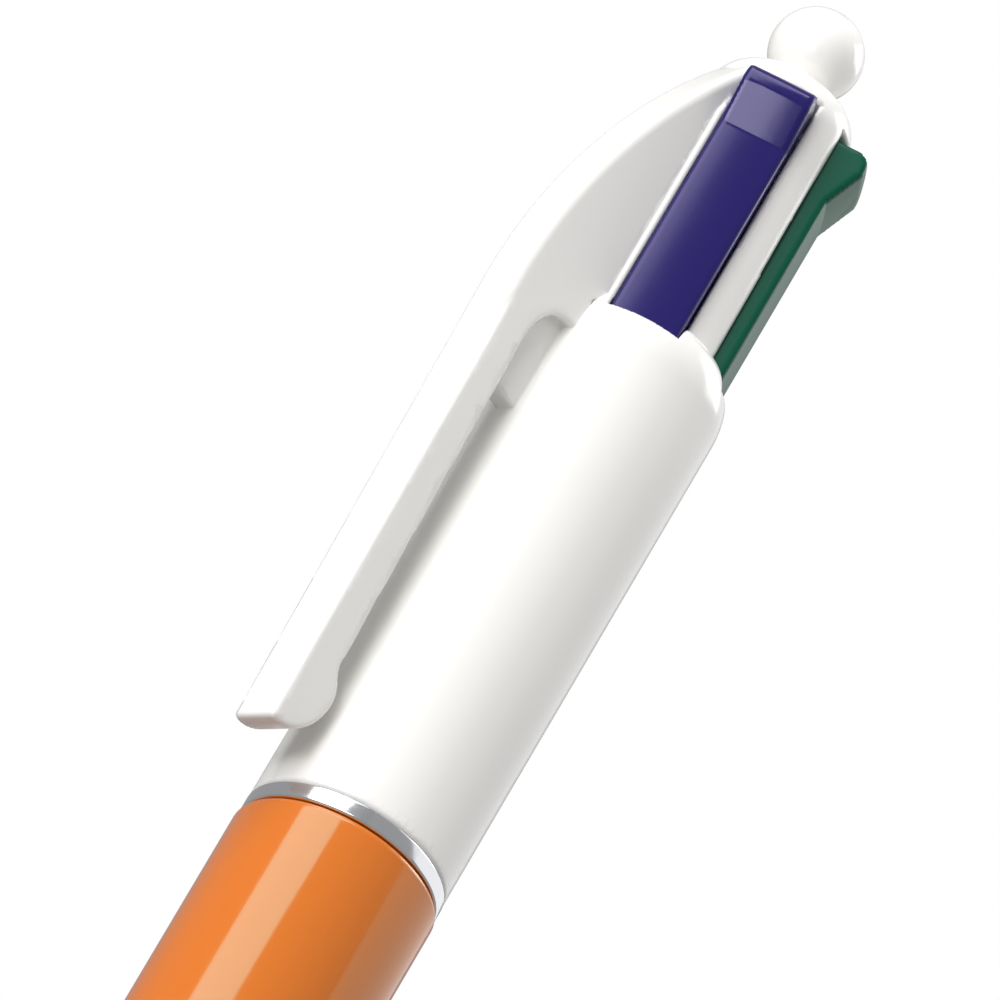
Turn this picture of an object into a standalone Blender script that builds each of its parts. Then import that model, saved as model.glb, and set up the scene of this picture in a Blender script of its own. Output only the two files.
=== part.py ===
"""Four-colour click pen, hanging tip down from its clip.

The pen's own heights run from 0 at the end of the nose to about 148 mm at the top of
the ball. Everything is parented to an empty on the pen's axis, and that empty puts the
origin of the scene in the gap behind the clip, where the edge of a pocket sits.
The clip points along -Y, and the sliders stand at 45 degrees to it.
"""
import math

import bmesh
import bpy
from mathutils import Matrix

MM = 0.001

# Overall sizes
SIDES = 32
JOINT_Z = 87.0 * MM
LOWER_R = 6.15 * MM
UPPER_R = 6.0 * MM
RING_H = 1.1 * MM
SEAT_GAP = 0.05 * MM
RUNNING_GAP = 0.3 * MM

# Lower barrel
NOSE_H = 30.0 * MM
NOSE_R = 2.1 * MM
NOSE_FULLNESS = 1.6
MOUTH_R = 1.45 * MM
MOUTH_H = 1.5 * MM
BORE_R = 4.9 * MM
CONE_TOP = 18.75 * MM
SOCKET_R = 5.3 * MM
SOCKET_Z = 77.0 * MM

# Upper barrel
UPPER_Z = JOINT_Z + RING_H + SEAT_GAP
SPIGOT_Z = 78.5 * MM
SPIGOT_R = 4.95 * MM
SPIGOT_BORE_R = 4.3 * MM
LEDGE_Z = UPPER_Z + 1.0 * MM
WIDE_BORE_R = 5.35 * MM
WIDE_BORE_TOP = 123.1 * MM
SHOULDER_Z = 120.8 * MM
SHOULDER_H = 3.2 * MM
PILLAR_R = 4.45 * MM
SLOT_Z = 122.8 * MM
SLOT_TOP = 140.6 * MM
SLOT_W = 4.4 * MM
CROWN_FOOT = 140.0 * MM
CROWN_TOP = 142.3 * MM
CROWN_R = 3.45 * MM
PEG_HOLE_R = 1.3 * MM

# Clip, as distances from the pen's axis and heights above the nose
CLIP_W = 3.0 * MM
CLIP_OUT = 10.85 * MM
CLIP_IN = 8.4 * MM
CLIP_LEAN = 0.0285
CLIP_END_Z = 89.3 * MM
CLIP_BEND_Z = 119.0 * MM
ARCH_Z = 117.4 * MM
CLIP_ROOT_Z = 120.4 * MM
BUMP_IN = 6.85 * MM
BUMP_Z = 92.7 * MM
WEB_W = 1.4 * MM
WEB_Z = 114.5 * MM

CLIP_TOP_HANDLES = ((11.3 * MM, 127.5 * MM), (7.9 * MM, 136.5 * MM))
CLIP_TIP_OUT = 3.2 * MM
CLIP_BURIED = 2.6 * MM
ROOT_OUT = 5.6 * MM
WEB_OUT = 8.7 * MM
NECK_Z = 94.9 * MM
TOE_IN = 9.4 * MM

# Ball cap
NECK_R = 1.6 * MM
BALL_R = 2.69 * MM
BALL_Z = 145.5 * MM

# Sliders
COLOURS = {"blue": 45, "green": 135, "red": 225, "black": 315}
SLIDER_W = 4.1 * MM
SLIDER_R = 5.12 * MM
SLIDER_IN = 3.65 * MM
HEAD_R = 5.95 * MM
HEAD_TOP = 140.15 * MM
HEAD_ROUND = 0.9 * MM
HEAD_EDGE_Z = 138.9 * MM
HEAD_FOOT = 136.4 * MM
SLIDER_Z = 113.0 * MM
FLANGE_R = 1.75 * MM
FLANGE_H = 4.0 * MM
PEG_R = 0.65 * MM
PEG_H = 5.0 * MM

# Refills and springs
REFILL_CIRCLE = 2.7 * MM
POINT_CIRCLE = 2.15 * MM
TUBE_R = 1.1 * MM
TUBE_WALL = 0.3 * MM
TUBE_TOP = 112.7 * MM
TUBE_END = 20.5 * MM
BEND_TOP = 85.0 * MM
INK_R = 0.62 * MM
INK_TOP = 84.0 * MM
INK_END = 25.0 * MM
POINT_R = 0.95 * MM
POINT_END = 8.95 * MM
POINT_TOP = 20.2 * MM
TIP_R = 0.6 * MM
POINT_CONE_H = 3.3 * MM
SHANK_H = 3.5 * MM
POINT_SIDES = 16
WRITING_BALL_R = 0.4 * MM
WRITING_BALL_Z = 8.9 * MM
SPRING_R = 1.58 * MM
WIRE_R = 0.14 * MM
SPRING_TURNS = 6
TURN_POINTS = 9

# Core guide and spring seat
SEAT_Z = LEDGE_Z + RUNNING_GAP
SEAT_H = 2.0 * MM
SEAT_R = 5.05 * MM
SEAT_HOLE_R = 1.6 * MM
ROD_R = 0.6 * MM
FIN_T = 0.7 * MM
FIN_REACH = 2.75 * MM
FIN_Z = 117.5 * MM
GUIDE_TOP = 139.6 * MM

# The pen's axis and nose, seen from the gap behind the clip
AXIS_Y = (UPPER_R + CLIP_IN) / 2
NOSE_Z = -WEB_Z


def clear_scene():
    """Remove what the scene starts with."""
    for thing in list(bpy.data.objects):
        bpy.data.objects.remove(thing)


def collection(name):
    """A new collection in the scene."""
    group = bpy.data.collections.new(name)
    bpy.context.scene.collection.children.link(group)
    return group


def material(name, colour, roughness, metallic=0.0):
    """A plain finish of one colour."""
    finish = bpy.data.materials.new(name)
    finish.use_nodes = True
    shader = finish.node_tree.nodes["Principled BSDF"]
    shader.inputs["Base Color"].default_value = (*colour, 1.0)
    shader.inputs["Roughness"].default_value = roughness
    shader.inputs["Metallic"].default_value = metallic
    finish.diffuse_color = (*colour, 1.0)
    return finish


def place(thing, finish=None, azimuth=0.0):
    """Put an object on the pen's axis, turned to its azimuth."""
    PEN.objects.link(thing)
    thing.parent = AXIS
    thing.rotation_euler.z = math.radians(azimuth)
    if finish:
        if not thing.material_slots:
            thing.data.materials.append(None)
        thing.material_slots[0].link = "OBJECT"
        thing.material_slots[0].material = finish


def as_cutter(thing):
    """Keep an object only as a tool for a Boolean."""
    CUTTERS.objects.link(thing)
    thing.parent = AXIS
    thing.hide_render = True
    thing.display_type = "WIRE"
    return thing


def combine(thing, tool, operation):
    """Add a Boolean with an exact solver."""
    step = thing.modifiers.new(operation.lower(), "BOOLEAN")
    step.operation = operation
    step.object = tool
    step.solver = "EXACT"


def turned(name, profile, sides=SIDES):
    """A turned solid from (radius, height) points, down the outside and back up the inside."""
    count = len(profile)
    ring = profile[0][0] > 0.0
    edges = [(i, (i + 1) % count) for i in range(count if ring else count - 1)]
    mesh = bpy.data.meshes.new(name)
    mesh.from_pydata([(r, 0.0, z) for r, z in profile], edges, [])
    thing = bpy.data.objects.new(name, mesh)
    spin = thing.modifiers.new("turn", "SCREW")
    spin.axis = "Z"
    spin.steps = sides
    spin.render_steps = sides
    spin.use_merge_vertices = True
    spin.merge_threshold = 1e-6
    spin.use_smooth_shade = True
    return thing


def flat_outline(name, points, thickness):
    """A closed flat outline in X and Y, given its thickness along Z, as an object."""
    curve = bpy.data.curves.new(name, "CURVE")
    curve.dimensions = "2D"
    curve.fill_mode = "BOTH"
    curve.extrude = thickness / 2
    spline = curve.splines.new("POLY")
    spline.points.add(len(points) - 1)
    for point, (x, y) in zip(spline.points, points):
        point.co = (x, y, 0.0, 1.0)
    spline.use_cyclic_u = True
    return bpy.data.objects.new(name, curve)


def baked(thing):
    """The finished mesh of an object, after its modifiers and welded. The object itself goes."""
    if not thing.users_collection:
        CUTTERS.objects.link(thing)
    graph = bpy.context.evaluated_depsgraph_get()
    mesh = bpy.data.meshes.new_from_object(thing.evaluated_get(graph))
    work = bmesh.new()
    work.from_mesh(mesh)
    bmesh.ops.remove_doubles(work, verts=work.verts, dist=1e-6)
    bmesh.ops.recalc_face_normals(work, faces=work.faces)
    work.to_mesh(mesh)
    work.free()
    mesh.name = thing.name
    bpy.data.objects.remove(thing)
    return mesh


def side_plate(name, points, width):
    """A plate cut to (distance towards the clip, height) points, across X."""
    plate = baked(flat_outline(name, points, width))
    for vertex in plate.vertices:
        distance, height, across = vertex.co
        vertex.co = (-across, -distance, height)
    return bpy.data.objects.new(name, plate)


def upright_prism(name, points, low, high):
    """An outline in X and Y that stands from one height to another."""
    prism = baked(flat_outline(name, points, high - low))
    for vertex in prism.vertices:
        vertex.co.z += (low + high) / 2
    return bpy.data.objects.new(name, prism)


def block(name, length, width, low, high, azimuth=0.0):
    """A block about the axis, long in X before it is turned to its azimuth."""
    x, y = length / 2, width / 2
    prism = upright_prism(name, [(-x, -y), (x, -y), (x, y), (-x, y)], low, high)
    prism.rotation_euler.z = math.radians(azimuth)
    return prism


def arc(centre, radii, start, end, count):
    """Points on an elliptical arc, from one angle to another in degrees."""
    angles = [math.radians(start + (end - start) * i / count) for i in range(count + 1)]
    return [(centre[0] + radii[0] * math.cos(a), centre[1] + radii[1] * math.sin(a)) for a in angles]


def bend(start, first, second, end, count):
    """Points along a cubic curve between two ends, with its two handles."""
    points = []
    for i in range(count + 1):
        t = i / count
        u = 1.0 - t
        weights = (u ** 3, 3 * u * u * t, 3 * u * t * t, t ** 3)
        points.append(tuple(sum(w * p[k] for w, p in zip(weights, (start, first, second, end)))
                            for k in (0, 1)))
    return points


def lower_barrel():
    """The coloured barrel with its nose, its mouth and the socket for the upper barrel."""
    rim = arc((LOWER_R - 0.5 * MM, JOINT_Z - 0.5 * MM), (0.5 * MM, 0.5 * MM), 90, 0, 3)
    nose = []
    for i in range(8):
        height = NOSE_H * (1 - i / 7)
        bulge = 1 - (1 - height / NOSE_H) ** NOSE_FULLNESS
        nose.append((NOSE_R + (LOWER_R - NOSE_R) * bulge, max(height, 0.35 * MM)))
    inside = [(NOSE_R - 0.3 * MM, 0.0), (MOUTH_R, 0.0), (MOUTH_R, MOUTH_H), (BORE_R, CONE_TOP),
              (BORE_R, SOCKET_Z), (SOCKET_R, SOCKET_Z + 0.4 * MM), (SOCKET_R, JOINT_Z)]
    place(turned("lower_barrel", rim + nose + inside), ORANGE)


def barrel_ring():
    """The bright ring between the two barrels."""
    low = JOINT_Z + SEAT_GAP
    high = low + RING_H - SEAT_GAP
    edge = 0.15 * MM
    outer = UPPER_R + 0.03 * MM
    place(turned("barrel_ring", [(SOCKET_R, high), (outer - edge, high), (outer, high - edge),
                                 (outer, low + edge), (outer - edge, low), (SOCKET_R, low)]), BRIGHT)


def lean(distance, height):
    """The blade's distance from the axis, which shrinks towards its free end."""
    return distance - (CLIP_BEND_Z - height) * CLIP_LEAN


def clip_plates():
    """The clip's blade, and the thin web that ties it to the barrel below its arch."""
    outer = bend((CLIP_OUT, CLIP_BEND_Z), *CLIP_TOP_HANDLES, (CLIP_TIP_OUT, CROWN_TOP - SEAT_GAP), 10)
    root = [(CLIP_BURIED, CROWN_TOP - RUNNING_GAP), (CLIP_BURIED, 124.2 * MM), (ROOT_OUT, 122.6 * MM),
            (ROOT_OUT, CLIP_ROOT_Z)]
    arch = bend((6.3 * MM, CLIP_ROOT_Z), (7.5 * MM, CLIP_ROOT_Z - 0.1 * MM), (CLIP_IN, 119.2 * MM),
                (lean(CLIP_IN, ARCH_Z), ARCH_Z), 5)
    bump = bend((lean(CLIP_IN, NECK_Z), NECK_Z), (lean(CLIP_IN, NECK_Z), NECK_Z - 1.0 * MM),
                (BUMP_IN, BUMP_Z + 1.1 * MM), (BUMP_IN, BUMP_Z), 4)
    toe = bend((BUMP_IN, BUMP_Z), (BUMP_IN, BUMP_Z - 1.6 * MM), (7.9 * MM, CLIP_END_Z + 0.3 * MM),
               (TOE_IN, CLIP_END_Z), 5)
    end = [(lean(CLIP_OUT, CLIP_END_Z), CLIP_END_Z)]
    blade = side_plate("clip_blade", outer + root + arch + bump + toe[1:] + end, CLIP_W)
    web = side_plate("clip_web", [(ROOT_OUT, WEB_Z), (WEB_OUT, WEB_Z + 0.25 * MM),
                                  (WEB_OUT, CLIP_ROOT_Z - 0.4 * MM), (ROOT_OUT, CLIP_ROOT_Z + 1.2 * MM)], WEB_W)
    return as_cutter(blade), as_cutter(web)


def upper_barrel():
    """The pale barrel: spigot, bore, shoulder, four pillars with a crown, and the clip."""
    crown = arc((CROWN_R - 0.4 * MM, CROWN_FOOT), (PILLAR_R - CROWN_R + 0.4 * MM, CROWN_TOP - CROWN_FOOT),
                90, 0, 5)
    shoulder = arc((PILLAR_R, SHOULDER_Z), (UPPER_R - PILLAR_R, SHOULDER_H), 84, 0, 6)
    lip = [(UPPER_R, UPPER_Z + 0.3 * MM), (UPPER_R - 0.2 * MM, UPPER_Z)]
    spigot = [(SPIGOT_R, UPPER_Z), (SPIGOT_R, SPIGOT_Z + 0.3 * MM), (SPIGOT_R - 0.25 * MM, SPIGOT_Z),
              (SPIGOT_BORE_R, SPIGOT_Z), (SPIGOT_BORE_R, LEDGE_Z)]
    bore = [(WIDE_BORE_R, LEDGE_Z), (WIDE_BORE_R, WIDE_BORE_TOP), (PEG_HOLE_R, WIDE_BORE_TOP),
            (PEG_HOLE_R, CROWN_TOP)]
    barrel = turned("upper_barrel", crown + shoulder + lip + spigot + bore)
    blade, web = clip_plates()
    combine(barrel, blade, "UNION")
    combine(barrel, web, "UNION")
    for azimuth in (45, 135):
        slots = block(f"slots_{azimuth}", 20 * MM, SLOT_W, SLOT_Z, SLOT_TOP, azimuth)
        combine(barrel, as_cutter(slots), "DIFFERENCE")
    place(barrel, WHITE)


def ball_cap():
    """The ball on the crown, with its neck and the peg that holds it."""
    angle = math.degrees(math.asin(NECK_R / BALL_R))
    ball = arc((0.0, BALL_Z), (BALL_R, BALL_R), 90, angle - 90, 9)
    ball[0] = (0.0, BALL_Z + BALL_R)
    foot = CROWN_TOP + SEAT_GAP
    peg_r = PEG_HOLE_R - RUNNING_GAP
    tip = SLOT_TOP + 0.4 * MM
    peg = [(NECK_R, foot), (peg_r, foot), (peg_r, tip), (0.0, tip)]
    place(turned("ball_cap", ball + peg, 20), WHITE)


def core_guide():
    """The cross between the sliders, on the rod that runs down between the springs."""
    low = SEAT_Z + SEAT_H + RUNNING_GAP
    high = GUIDE_TOP + RUNNING_GAP
    rod = turned("core_guide", [(0.0, high), (ROD_R, high), (ROD_R, low), (0.0, low)], 12)
    for azimuth in (0, 90):
        fins = block(f"fins_{azimuth}", 2 * FIN_REACH, FIN_T, FIN_Z, GUIDE_TOP, azimuth)
        combine(rod, as_cutter(fins), "UNION")
    place(rod, NATURAL)


def spring_seat():
    """The disc that carries the four springs and lets the refills through."""
    high = SEAT_Z + SEAT_H
    seat = turned("spring_seat", [(0.0, high), (SEAT_R, high), (SEAT_R, SEAT_Z), (0.0, SEAT_Z)])
    for name, azimuth in COLOURS.items():
        hole = turned(f"{name}_seat_hole", [(0.0, high + MM), (SEAT_HOLE_R, high + MM),
                                            (SEAT_HOLE_R, SEAT_Z - MM), (0.0, SEAT_Z - MM)], 16)
        hole.location = on_circle(REFILL_CIRCLE, azimuth)
        combine(seat, as_cutter(hole), "DIFFERENCE")
    place(seat, NATURAL)


def on_circle(radius, azimuth):
    """The place on a circle about the axis at an azimuth, where 0 is the clip's side."""
    turn = math.radians(azimuth)
    return (radius * math.sin(turn), -radius * math.cos(turn), 0.0)


def slider_mesh():
    """One slider, facing -Y: its curved strip with a thumb ledge, its flange and its peg."""
    ledge = arc((HEAD_R - HEAD_ROUND, HEAD_TOP - HEAD_ROUND), (HEAD_ROUND, HEAD_ROUND), 90, 0, 4)
    strip = turned("slider", [(SLIDER_IN, HEAD_TOP)] + ledge + [
        (HEAD_R, HEAD_EDGE_Z), (SLIDER_R, HEAD_FOOT), (SLIDER_R, SLIDER_Z), (SLIDER_IN, SLIDER_Z)], 48)
    CUTTERS.objects.link(strip)
    keep = block("slider_width", SLIDER_W, 10 * MM, SLIDER_Z - MM, HEAD_TOP + MM)
    keep.location.y = -5 * MM
    CUTTERS.objects.link(keep)
    combine(strip, keep, "INTERSECT")
    top = SLIDER_Z + FLANGE_H
    foot = turned("slider_foot", [(0.0, top), (FLANGE_R, top), (FLANGE_R, SLIDER_Z), (PEG_R, SLIDER_Z),
                                  (PEG_R, SLIDER_Z - PEG_H), (0.0, SLIDER_Z - PEG_H)], 24)
    foot.location.y = -REFILL_CIRCLE
    CUTTERS.objects.link(foot)
    combine(strip, foot, "UNION")
    slider = baked(strip)
    bpy.data.objects.remove(keep)
    bpy.data.objects.remove(foot)
    return slider


def refill_reach(height):
    """How far a refill's middle stands from the axis at a height."""
    share = min(max((height - TUBE_END) / (BEND_TOP - TUBE_END), 0.0), 1.0)
    ease = share * share * (3 - 2 * share)
    return POINT_CIRCLE + (REFILL_CIRCLE - POINT_CIRCLE) * ease


def refill_path(name, low, high, radius, filled):
    """A round rod or tube along a refill, facing -Y, from one height to another."""
    count = 7
    curve = bpy.data.curves.new(name, "CURVE")
    curve.dimensions = "3D"
    curve.bevel_depth = radius
    curve.bevel_resolution = 4
    curve.use_fill_caps = filled
    spline = curve.splines.new("POLY")
    spline.points.add(count)
    for i, point in enumerate(spline.points):
        height = low + (min(high, BEND_TOP) - low) * i / (count - 1) if i < count else high
        point.co = (0.0, -refill_reach(height), height, 1.0)
    return bpy.data.objects.new(name, curve)


def tube_mesh():
    """One refill's tube, open at both ends."""
    tube = refill_path("refill_tube", TUBE_END, TUBE_TOP, TUBE_R, False)
    wall = tube.modifiers.new("wall", "SOLIDIFY")
    wall.thickness = TUBE_WALL
    wall.offset = -1.0
    return baked(tube)


def ink_mesh():
    """The ink in one refill."""
    ink = refill_path("ink", INK_END, INK_TOP, INK_R, True)
    return baked(ink)


def at_point_circle(mesh):
    """Move a piece of a refill's point from the axis to its place at rest."""
    mesh.transform(Matrix.Translation((0.0, -POINT_CIRCLE, 0.0)))
    return mesh


def point_mesh():
    """One brass point: its shank, its collar and the cone with the socket for the ball."""
    socket_r = WRITING_BALL_R + 0.08 * MM
    socket_top = WRITING_BALL_Z + WRITING_BALL_R + 0.1 * MM
    shank_top = POINT_TOP + SHANK_H
    point = turned("point", [(0.0, shank_top), (INK_R, shank_top), (INK_R, POINT_TOP), (POINT_R, POINT_TOP),
                             (POINT_R, POINT_END + POINT_CONE_H), (TIP_R, POINT_END), (socket_r, POINT_END),
                             (socket_r, socket_top), (0.0, socket_top)], POINT_SIDES)
    return at_point_circle(baked(point))


def writing_ball_mesh():
    """One writing ball."""
    half = arc((0.0, WRITING_BALL_Z), (WRITING_BALL_R, WRITING_BALL_R), 90, -90, 6)
    half[0] = (0.0, half[0][1])
    half[-1] = (0.0, half[-1][1])
    return at_point_circle(baked(turned("writing_ball", half, 10)))


def spring_mesh():
    """One spring round its refill, facing -Y."""
    low = SEAT_Z + SEAT_H + 0.15 * MM + WIRE_R
    high = SLIDER_Z - 0.15 * MM - WIRE_R
    steps = SPRING_TURNS * TURN_POINTS
    curve = bpy.data.curves.new("spring", "CURVE")
    curve.dimensions = "3D"
    curve.bevel_depth = WIRE_R
    curve.bevel_resolution = 2
    curve.use_fill_caps = True
    spline = curve.splines.new("POLY")
    spline.points.add(steps)
    for i, point in enumerate(spline.points):
        turn = 2 * math.pi * i / TURN_POINTS
        point.co = (SPRING_R * math.cos(turn), SPRING_R * math.sin(turn) - REFILL_CIRCLE,
                    low + (high - low) * i / steps, 1.0)
    return baked(bpy.data.objects.new("spring", curve))


def colour_sets():
    """The four sliders, each with its spring and its refill."""
    meshes = {"slider": slider_mesh(), "spring": spring_mesh(), "refill_tube": tube_mesh(),
              "ink": ink_mesh(), "brass_point": point_mesh(), "writing_ball": writing_ball_mesh()}
    shared = {"spring": STEEL, "refill_tube": NATURAL, "brass_point": BRASS, "writing_ball": STEEL}
    for colour, azimuth in COLOURS.items():
        for piece, mesh in meshes.items():
            finish = shared.get(piece) or TINTS[colour]
            place(bpy.data.objects.new(f"{colour}_{piece}", mesh), finish, azimuth)


clear_scene()
PEN = collection("click_pen")
CUTTERS = collection("cutters")
AXIS = bpy.data.objects.new("pen_axis", None)
PEN.objects.link(AXIS)
AXIS.location = (0.0, AXIS_Y, NOSE_Z)
ORANGE = material("orange_plastic", (0.80, 0.22, 0.03), 0.25)
WHITE = material("white_plastic", (0.86, 0.86, 0.84), 0.25)
NATURAL = material("natural_plastic", (0.72, 0.72, 0.68), 0.4)
BRIGHT = material("bright_metal", (0.75, 0.75, 0.77), 0.15, 1.0)
STEEL = material("spring_steel", (0.55, 0.55, 0.56), 0.3, 1.0)
BRASS = material("brass", (0.72, 0.52, 0.20), 0.25, 1.0)
TINTS = {"blue": material("blue_plastic", (0.035, 0.02, 0.17), 0.2),
         "green": material("green_plastic", (0.0, 0.13, 0.07), 0.2),
         "red": material("red_plastic", (0.55, 0.01, 0.02), 0.2),
         "black": material("black_plastic", (0.015, 0.015, 0.015), 0.2)}
lower_barrel()
barrel_ring()
upper_barrel()
ball_cap()
core_guide()
spring_seat()
colour_sets()
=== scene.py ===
"""Four-colour click pen with a clip, hanging tip down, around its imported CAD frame.

Sizes are in the pen's own frame: heights run up from the end of the nose, distances are
taken from the pen's axis, and azimuth 0 faces the clip. PenFrame puts a finished mesh in
its place. The sliders stand at 45 degrees to the clip.
"""

import logging
import math
from dataclasses import dataclass
from enum import Enum
from typing import Iterable, Sequence

import bmesh
import bpy
import numpy as np
from bpy.types import ID, Material, Mesh, Node, NodeSocket, NodeTree, Object
from mathutils import Matrix, Vector
from mathutils.bvhtree import BVHTree

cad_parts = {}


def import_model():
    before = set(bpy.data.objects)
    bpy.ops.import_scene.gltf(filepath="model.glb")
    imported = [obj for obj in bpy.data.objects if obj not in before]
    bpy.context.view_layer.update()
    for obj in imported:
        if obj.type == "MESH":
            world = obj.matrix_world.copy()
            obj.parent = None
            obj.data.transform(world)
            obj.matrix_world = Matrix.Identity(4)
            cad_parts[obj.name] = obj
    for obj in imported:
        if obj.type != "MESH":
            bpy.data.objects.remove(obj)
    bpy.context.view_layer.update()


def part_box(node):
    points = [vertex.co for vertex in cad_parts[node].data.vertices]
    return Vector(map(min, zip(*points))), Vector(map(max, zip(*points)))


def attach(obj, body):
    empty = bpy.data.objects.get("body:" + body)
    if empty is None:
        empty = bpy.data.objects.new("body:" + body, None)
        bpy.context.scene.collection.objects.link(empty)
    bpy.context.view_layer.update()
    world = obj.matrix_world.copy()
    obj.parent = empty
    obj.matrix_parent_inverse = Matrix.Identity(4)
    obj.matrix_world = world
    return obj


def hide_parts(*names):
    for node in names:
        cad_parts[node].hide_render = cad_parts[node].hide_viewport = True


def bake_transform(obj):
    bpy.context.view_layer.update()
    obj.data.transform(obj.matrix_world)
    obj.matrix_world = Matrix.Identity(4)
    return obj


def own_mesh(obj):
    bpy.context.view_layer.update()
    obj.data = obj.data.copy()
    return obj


log = logging.getLogger("click_pen")

MM = 0.001
WELD = 1e-6
SHARP_ANGLE = math.radians(32)
TARGET_HEIGHT = 118.0 * MM  # the height on the pen that the camera and most lights look at
MITRE = 0.25  # the least that a corner's sharpness counts for when an outline is moved in
CLEAR = 10 * MM  # a distance from the axis that is outside every slot and slider

Point = tuple[float, float]
Colour = tuple[float, float, float]


class Body(Enum):
    """The bodies of the frame that carry one piece or more for the whole pen."""

    BARREL = "barrel"
    RING = "ring"
    LOWER = "lower_barrel"


class Ink(Enum):
    """The four colours, with the azimuth at which each slider stands."""

    BLUE = 45
    GREEN = 135
    RED = 225
    BLACK = 315

    @property
    def label(self) -> str:
        """The colour's name in the frame."""
        return self.name.lower()


class Joining(Enum):
    """How a tool changes a solid."""

    UNION = "UNION"
    DIFFERENCE = "DIFFERENCE"
    INTERSECT = "INTERSECT"


@dataclass
class PenFrame:
    """Where the pen stands in the frame.

    Attributes:
        axis_y: how far the pen's axis stands behind the origin.
        nose_z: the height of the end of the nose.
    """

    axis_y: float
    nose_z: float

    @classmethod
    def read(cls) -> "PenFrame":
        """Read the pen's place from the CAD model's lower barrel."""
        low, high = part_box("lower_barrel")
        return cls((low[1] + high[1]) / 2, low[2])

    def place(self, mesh: Mesh, azimuth: float = 0.0, out: float = 0.0) -> Mesh:
        """Move a mesh from the pen's axis to its place in the frame.

        Args:
            mesh: the mesh, built facing the clip.
            azimuth: the azimuth in degrees that it is turned to.
            out: how far it first moves out from the axis.

        Returns:
            The same mesh.
        """
        turn = Matrix.Rotation(math.radians(azimuth), 4, "Z")
        stand = Matrix.Translation((0.0, self.axis_y, self.nose_z))
        mesh.transform(stand @ turn @ Matrix.Translation((0.0, -out, 0.0)))
        return mesh

    def point(self, azimuth: float, out: float, height: float) -> Vector:
        """A point of the pen in the frame."""
        turn = math.radians(azimuth)
        return Vector((out * math.sin(turn), self.axis_y - out * math.cos(turn), self.nose_z + height))

    def span(self, node: str) -> Point:
        """The pen's heights at the foot and at the top of a CAD node."""
        low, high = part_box(node)
        return low[2] - self.nose_z, high[2] - self.nose_z


# ---------------------------------------------------------------- outlines


def arc(centre: Point, radii: Point, start: float, end: float, count: int) -> list[Point]:
    """Points on an elliptical arc.

    Args:
        centre: the arc's centre.
        radii: its two radii.
        start: the first angle in degrees.
        end: the last angle in degrees.
        count: how many steps it has.

    Returns:
        The points, both ends among them.
    """
    angles = [math.radians(start + (end - start) * i / count) for i in range(count + 1)]
    return [(centre[0] + radii[0] * math.cos(a), centre[1] + radii[1] * math.sin(a)) for a in angles]


def bend(start: Point, first: Point, second: Point, end: Point, count: int) -> list[Point]:
    """Points along a cubic curve between two ends, with its two handles.

    Args:
        start: the first end.
        first: the handle of the first end.
        second: the handle of the second end.
        end: the second end.
        count: how many steps the curve has.

    Returns:
        The points, both ends among them.
    """
    points = []
    for i in range(count + 1):
        t = i / count
        u = 1.0 - t
        weights = (u ** 3, 3 * u * u * t, 3 * u * t * t, t ** 3)
        points.append(tuple(sum(w * p[k] for w, p in zip(weights, (start, first, second, end)))
                            for k in (0, 1)))
    return points


def bar(radius: float, low: float, high: float) -> list[Point]:
    """The outline of a plain round bar on the axis, from its top down to its foot."""
    return [(0.0, high), (radius, high), (radius, low), (0.0, low)]


def inset(outline: Sequence[Point], depth: float) -> list[Point]:
    """Move a closed anticlockwise outline inwards by a depth, with mitred corners.

    Args:
        outline: the corners in order.
        depth: how far each side moves.

    Returns:
        The moved corners, one for each that came in.
    """
    moved = []
    count = len(outline)
    for i in range(count):
        before, here, after = (np.array(outline[(i + k) % count]) for k in (-1, 0, 1))
        ways = [side / np.linalg.norm(side) for side in (here - before, after - here)]
        one, two = (np.array((-rise, run)) for run, rise in ways)
        moved.append(tuple(here + depth * (one + two) / max(1.0 + float(one @ two), MITRE)))
    return moved


# ---------------------------------------------------------------- meshes


def linked(name: str, data: ID) -> Object:
    """A new object in the scene that shows a mesh, a light or a camera."""
    thing = bpy.data.objects.new(name, data)
    bpy.context.scene.collection.objects.link(thing)
    return thing


def welded(mesh: Mesh) -> Mesh:
    """Merge a mesh's doubles and point its faces out."""
    work = bmesh.new()
    work.from_mesh(mesh)
    bmesh.ops.remove_doubles(work, verts=work.verts, dist=WELD)
    bmesh.ops.dissolve_degenerate(work, dist=WELD / 10, edges=work.edges)
    bmesh.ops.recalc_face_normals(work, faces=work.faces)
    work.to_mesh(mesh)
    work.free()
    return mesh


def evaluated(thing: Object, name: str) -> Mesh:
    """The mesh of an object after its modifiers. The object itself is removed.

    Args:
        thing: the object.
        name: the new mesh's name.

    Returns:
        A plain mesh.
    """
    graph = bpy.context.evaluated_depsgraph_get()
    mesh = bpy.data.meshes.new_from_object(thing.evaluated_get(graph))
    mesh.name = name
    bpy.data.objects.remove(thing)
    return mesh


def creased(thing: Object, name: str) -> Mesh:
    """The welded mesh of an object after its modifiers, smooth up to SHARP_ANGLE."""
    mesh = welded(evaluated(thing, name))
    mesh.shade_smooth()
    mesh.set_sharp_from_angle(angle=SHARP_ANGLE)
    return mesh


def points_object(name: str, points: Iterable[Sequence[float]], chain: bool) -> Object:
    """An object whose mesh is a row of points, joined by edges if it is a chain."""
    rows = [tuple(p) for p in points]
    mesh = bpy.data.meshes.new(name)
    mesh.from_pydata(rows, [(i, i + 1) for i in range(len(rows) - 1)] if chain else [], [])
    return linked(name, mesh)


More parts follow.
